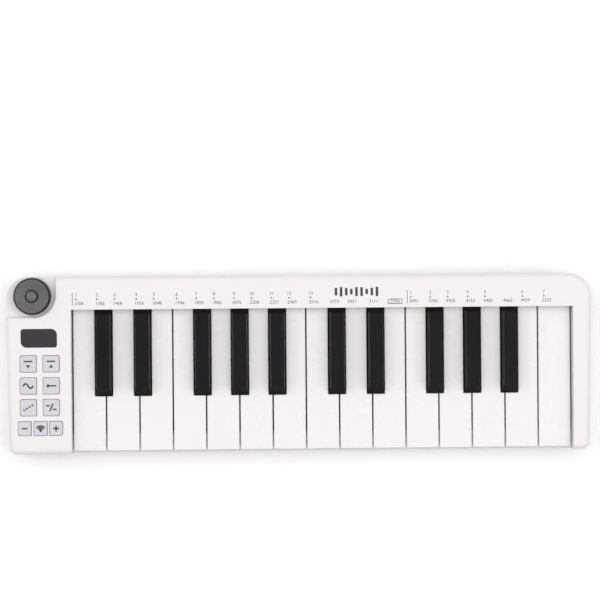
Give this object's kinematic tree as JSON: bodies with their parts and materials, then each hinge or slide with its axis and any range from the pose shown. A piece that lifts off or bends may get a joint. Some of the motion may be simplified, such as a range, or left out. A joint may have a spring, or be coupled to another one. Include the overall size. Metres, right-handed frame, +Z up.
{
  "type": "midi keyboard",
  "caption": "Slim white keyboard controller with mini piano keys, a grooved rotary knob, a small display, control buttons, and a rear USB-C socket.",
  "frame": {"origin": "middle of the footprint, on the surface that the feet stand on", "axes": "+X along the keys from the low notes to the high notes, +Y towards the rear with the socket, +Z up"},
  "size_m": [0.3255, 0.098, 0.0357],
  "materials": {
    "shell_plastic": "fine moulded satin, warm white",
    "base_plastic": "fine moulded satin, warm light grey",
    "white_key_plastic": "smooth semi-gloss white",
    "black_key_plastic": "satin black",
    "button_plastic": "satin light bluish grey",
    "knob_plastic": "satin dark grey, grooved rim",
    "slider_plastic": "dark grey",
    "display_lens": "smoked gloss window",
    "display_module": "dark module",
    "circuit_board": "green solder mask",
    "frame_plastic": "grey glass-filled plastic",
    "steel": "ground rod",
    "silicone": "translucent grey silicone",
    "felt": "red felt",
    "battery_wrap": "silver pouch",
    "socket_metal": "plated steel",
    "light_pipe": "smoked clear",
    "encoder_metal": "plated steel and plastic",
    "encoder_plastic": "black plastic",
    "switch_metal": "plated steel",
    "foot_rubber": "dark rubber",
    "screw_steel": "zinc-plated steel",
    "ribbon_film": "flat white film"
  },
  "bodies": {
    "case": {"battery_pack": "battery_wrap", "board_screws": "screw_steel", "bottom_case": "base_plastic", "button_dome_mat": "silicone", "case_screws": "screw_steel", "charge_light": "light_pipe", "display_lens": "display_lens", "display_module": "display_module", "encoder_body": "encoder_metal", "felt_strips": "felt", "key_contact_board": "circuit_board", "key_dome_strip": "silicone", "key_frame": "frame_plastic", "key_pivot_rod": "steel", "main_board": "circuit_board", "panel_board": "circuit_board", "power_switch_body": "switch_metal", "ribbon_cable": "ribbon_film", "rubber_feet": "foot_rubber", "top_case": "shell_plastic", "usb_socket": "socket_metal", "wireless_module": "socket_metal"},
    "encoder_push": {"encoder_plunger": "encoder_plastic"},
    "knob_turner": {"encoder_shaft": "steel", "knob": "knob_plastic"},
    "power_slide": {"power_slider": "slider_plastic"},
    "button_pitch_down": {"button_pitch_down": "button_plastic"},
    "button_pitch_up": {"button_pitch_up": "button_plastic"},
    "button_modulation": {"button_modulation": "button_plastic"},
    "button_sustain": {"button_sustain": "button_plastic"},
    "button_arpeggio": {"button_arpeggio": "button_plastic"},
    "button_scale": {"button_scale": "button_plastic"},
    "button_octave_down": {"button_octave_down": "button_plastic"},
    "button_wireless": {"button_wireless": "button_plastic"},
    "button_octave_up": {"button_octave_up": "button_plastic"},
    "white_key_a1": {"white_key_a1": "white_key_plastic"},
    "white_key_a2": {"white_key_a2": "white_key_plastic"},
    "white_key_b1": {"white_key_b1": "white_key_plastic"},
    "white_key_b2": {"white_key_b2": "white_key_plastic"},
    "white_key_c1": {"white_key_c1": "white_key_plastic"},
    "white_key_c2": {"white_key_c2": "white_key_plastic"},
    "white_key_c3": {"white_key_c3": "white_key_plastic"},
    "white_key_d1": {"white_key_d1": "white_key_plastic"},
    "white_key_d2": {"white_key_d2": "white_key_plastic"},
    "white_key_e1": {"white_key_e1": "white_key_plastic"},
    "white_key_e2": {"white_key_e2": "white_key_plastic"},
    "white_key_f1": {"white_key_f1": "white_key_plastic"},
    "white_key_f2": {"white_key_f2": "white_key_plastic"},
    "white_key_g1": {"white_key_g1": "white_key_plastic"},
    "white_key_g2": {"white_key_g2": "white_key_plastic"},
    "black_key_a_sharp1": {"black_key_a_sharp1": "black_key_plastic"},
    "black_key_a_sharp2": {"black_key_a_sharp2": "black_key_plastic"},
    "black_key_c_sharp1": {"black_key_c_sharp1": "black_key_plastic"},
    "black_key_c_sharp2": {"black_key_c_sharp2": "black_key_plastic"},
    "black_key_d_sharp1": {"black_key_d_sharp1": "black_key_plastic"},
    "black_key_d_sharp2": {"black_key_d_sharp2": "black_key_plastic"},
    "black_key_f_sharp1": {"black_key_f_sharp1": "black_key_plastic"},
    "black_key_f_sharp2": {"black_key_f_sharp2": "black_key_plastic"},
    "black_key_g_sharp1": {"black_key_g_sharp1": "black_key_plastic"},
    "black_key_g_sharp2": {"black_key_g_sharp2": "black_key_plastic"}
  },
  "joints": [
    {"name": "knob_press", "type": "slide", "parent": "case", "child": "encoder_push", "axis": [0, 0, -1], "range_m": [0, 0.0005], "stiffness_N_per_m": 900, "springref_m": -0.002},
    {"name": "knob_turn", "type": "hinge", "parent": "encoder_push", "child": "knob_turner", "pos_m": [-0.1473, 0.0382, 0.03], "axis": [0, 0, 1], "continuous": true},
    {"name": "power_slide", "type": "slide", "parent": "case", "child": "power_slide", "axis": [0, 1, 0], "range_m": [0, 0.002]},
    {"name": "press_pitch_down", "type": "slide", "parent": "case", "child": "button_pitch_down", "axis": [0, 0, -1], "range_m": [0, 0.0006], "stiffness_N_per_m": 400, "springref_m": -0.0006, "deforming": ["button_dome_mat"]},
    {"name": "press_pitch_up", "type": "slide", "parent": "case", "child": "button_pitch_up", "axis": [0, 0, -1], "range_m": [0, 0.0006], "stiffness_N_per_m": 400, "springref_m": -0.0006},
    {"name": "press_modulation", "type": "slide", "parent": "case", "child": "button_modulation", "axis": [0, 0, -1], "range_m": [0, 0.0006], "stiffness_N_per_m": 400, "springref_m": -0.0006},
    {"name": "press_sustain", "type": "slide", "parent": "case", "child": "button_sustain", "axis": [0, 0, -1], "range_m": [0, 0.0006], "stiffness_N_per_m": 400, "springref_m": -0.0006},
    {"name": "press_arpeggio", "type": "slide", "parent": "case", "child": "button_arpeggio", "axis": [0, 0, -1], "range_m": [0, 0.0006], "stiffness_N_per_m": 400, "springref_m": -0.0006},
    {"name": "press_scale", "type": "slide", "parent": "case", "child": "button_scale", "axis": [0, 0, -1], "range_m": [0, 0.0006], "stiffness_N_per_m": 400, "springref_m": -0.0006},
    {"name": "press_octave_down", "type": "slide", "parent": "case", "child": "button_octave_down", "axis": [0, 0, -1], "range_m": [0, 0.0006], "stiffness_N_per_m": 400, "springref_m": -0.0006},
    {"name": "press_wireless", "type": "slide", "parent": "case", "child": "button_wireless", "axis": [0, 0, -1], "range_m": [0, 0.0006], "stiffness_N_per_m": 400, "springref_m": -0.0006},
    {"name": "press_octave_up", "type": "slide", "parent": "case", "child": "button_octave_up", "axis": [0, 0, -1], "range_m": [0, 0.0006], "stiffness_N_per_m": 400, "springref_m": -0.0006},
    {"name": "white_a1_turn", "type": "hinge", "parent": "case", "child": "white_key_a1", "pos_m": [0, 0.0425, 0.018], "axis": [1, 0, 0], "range_deg": [0, 2.6], "stiffness_Nm_per_rad": 0.25, "springref_deg": -4.58, "deforming": ["key_dome_strip"]},
    {"name": "white_a2_turn", "type": "hinge", "parent": "case", "child": "white_key_a2", "pos_m": [0, 0.0425, 0.018], "axis": [1, 0, 0], "range_deg": [0, 2.6], "stiffness_Nm_per_rad": 0.25, "springref_deg": -4.58},
    {"name": "white_b1_turn", "type": "hinge", "parent": "case", "child": "white_key_b1", "pos_m": [0, 0.0425, 0.018], "axis": [1, 0, 0], "range_deg": [0, 2.6], "stiffness_Nm_per_rad": 0.25, "springref_deg": -4.58},
    {"name": "white_b2_turn", "type": "hinge", "parent": "case", "child": "white_key_b2", "pos_m": [0, 0.0425, 0.018], "axis": [1, 0, 0], "range_deg": [0, 2.6], "stiffness_Nm_per_rad": 0.25, "springref_deg": -4.58},
    {"name": "white_c1_turn", "type": "hinge", "parent": "case", "child": "white_key_c1", "pos_m": [0, 0.0425, 0.018], "axis": [1, 0, 0], "range_deg": [0, 2.6], "stiffness_Nm_per_rad": 0.25, "springref_deg": -4.58},
    {"name": "white_c2_turn", "type": "hinge", "parent": "case", "child": "white_key_c2", "pos_m": [0, 0.0425, 0.018], "axis": [1, 0, 0], "range_deg": [0, 2.6], "stiffness_Nm_per_rad": 0.25, "springref_deg": -4.58},
    {"name": "white_c3_turn", "type": "hinge", "parent": "case", "child": "white_key_c3", "pos_m": [0, 0.0425, 0.018], "axis": [1, 0, 0], "range_deg": [0, 2.6], "stiffness_Nm_per_rad": 0.25, "springref_deg": -4.58},
    {"name": "white_d1_turn", "type": "hinge", "parent": "case", "child": "white_key_d1", "pos_m": [0, 0.0425, 0.018], "axis": [1, 0, 0], "range_deg": [0, 2.6], "stiffness_Nm_per_rad": 0.25, "springref_deg": -4.58},
    {"name": "white_d2_turn", "type": "hinge", "parent": "case", "child": "white_key_d2", "pos_m": [0, 0.0425, 0.018], "axis": [1, 0, 0], "range_deg": [0, 2.6], "stiffness_Nm_per_rad": 0.25, "springref_deg": -4.58},
    {"name": "white_e1_turn", "type": "hinge", "parent": "case", "child": "white_key_e1", "pos_m": [0, 0.0425, 0.018], "axis": [1, 0, 0], "range_deg": [0, 2.6], "stiffness_Nm_per_rad": 0.25, "springref_deg": -4.58},
    {"name": "white_e2_turn", "type": "hinge", "parent": "case", "child": "white_key_e2", "pos_m": [0, 0.0425, 0.018], "axis": [1, 0, 0], "range_deg": [0, 2.6], "stiffness_Nm_per_rad": 0.25, "springref_deg": -4.58},
    {"name": "white_f1_turn", "type": "hinge", "parent": "case", "child": "white_key_f1", "pos_m": [0, 0.0425, 0.018], "axis": [1, 0, 0], "range_deg": [0, 2.6], "stiffness_Nm_per_rad": 0.25, "springref_deg": -4.58},
    {"name": "white_f2_turn", "type": "hinge", "parent": "case", "child": "white_key_f2", "pos_m": [0, 0.0425, 0.018], "axis": [1, 0, 0], "range_deg": [0, 2.6], "stiffness_Nm_per_rad": 0.25, "springref_deg": -4.58},
    {"name": "white_g1_turn", "type": "hinge", "parent": "case", "child": "white_key_g1", "pos_m": [0, 0.0425, 0.018], "axis": [1, 0, 0], "range_deg": [0, 2.6], "stiffness_Nm_per_rad": 0.25, "springref_deg": -4.58},
    {"name": "white_g2_turn", "type": "hinge", "parent": "case", "child": "white_key_g2", "pos_m": [0, 0.0425, 0.018], "axis": [1, 0, 0], "range_deg": [0, 2.6], "stiffness_Nm_per_rad": 0.25, "springref_deg": -4.58},
    {"name": "black_a_sharp1_turn", "type": "hinge", "parent": "case", "child": "black_key_a_sharp1", "pos_m": [0, 0.0425, 0.018], "axis": [1, 0, 0], "range_deg": [0, 3.2], "stiffness_Nm_per_rad": 0.25, "springref_deg": -4.58},
    {"name": "black_a_sharp2_turn", "type": "hinge", "parent": "case", "child": "black_key_a_sharp2", "pos_m": [0, 0.0425, 0.018], "axis": [1, 0, 0], "range_deg": [0, 3.2], "stiffness_Nm_per_rad": 0.25, "springref_deg": -4.58},
    {"name": "black_c_sharp1_turn", "type": "hinge", "parent": "case", "child": "black_key_c_sharp1", "pos_m": [0, 0.0425, 0.018], "axis": [1, 0, 0], "range_deg": [0, 3.2], "stiffness_Nm_per_rad": 0.25, "springref_deg": -4.58},
    {"name": "black_c_sharp2_turn", "type": "hinge", "parent": "case", "child": "black_key_c_sharp2", "pos_m": [0, 0.0425, 0.018], "axis": [1, 0, 0], "range_deg": [0, 3.2], "stiffness_Nm_per_rad": 0.25, "springref_deg": -4.58},
    {"name": "black_d_sharp1_turn", "type": "hinge", "parent": "case", "child": "black_key_d_sharp1", "pos_m": [0, 0.0425, 0.018], "axis": [1, 0, 0], "range_deg": [0, 3.2], "stiffness_Nm_per_rad": 0.25, "springref_deg": -4.58},
    {"name": "black_d_sharp2_turn", "type": "hinge", "parent": "case", "child": "black_key_d_sharp2", "pos_m": [0, 0.0425, 0.018], "axis": [1, 0, 0], "range_deg": [0, 3.2], "stiffness_Nm_per_rad": 0.25, "springref_deg": -4.58},
    {"name": "black_f_sharp1_turn", "type": "hinge", "parent": "case", "child": "black_key_f_sharp1", "pos_m": [0, 0.0425, 0.018], "axis": [1, 0, 0], "range_deg": [0, 3.2], "stiffness_Nm_per_rad": 0.25, "springref_deg": -4.58},
    {"name": "black_f_sharp2_turn", "type": "hinge", "parent": "case", "child": "black_key_f_sharp2", "pos_m": [0, 0.0425, 0.018], "axis": [1, 0, 0], "range_deg": [0, 3.2], "stiffness_Nm_per_rad": 0.25, "springref_deg": -4.58},
    {"name": "black_g_sharp1_turn", "type": "hinge", "parent": "case", "child": "black_key_g_sharp1", "pos_m": [0, 0.0425, 0.018], "axis": [1, 0, 0], "range_deg": [0, 3.2], "stiffness_Nm_per_rad": 0.25, "springref_deg": -4.58},
    {"name": "black_g_sharp2_turn", "type": "hinge", "parent": "case", "child": "black_key_g_sharp2", "pos_m": [0, 0.0425, 0.018], "axis": [1, 0, 0], "range_deg": [0, 3.2], "stiffness_Nm_per_rad": 0.25, "springref_deg": -4.58}
  ]
}
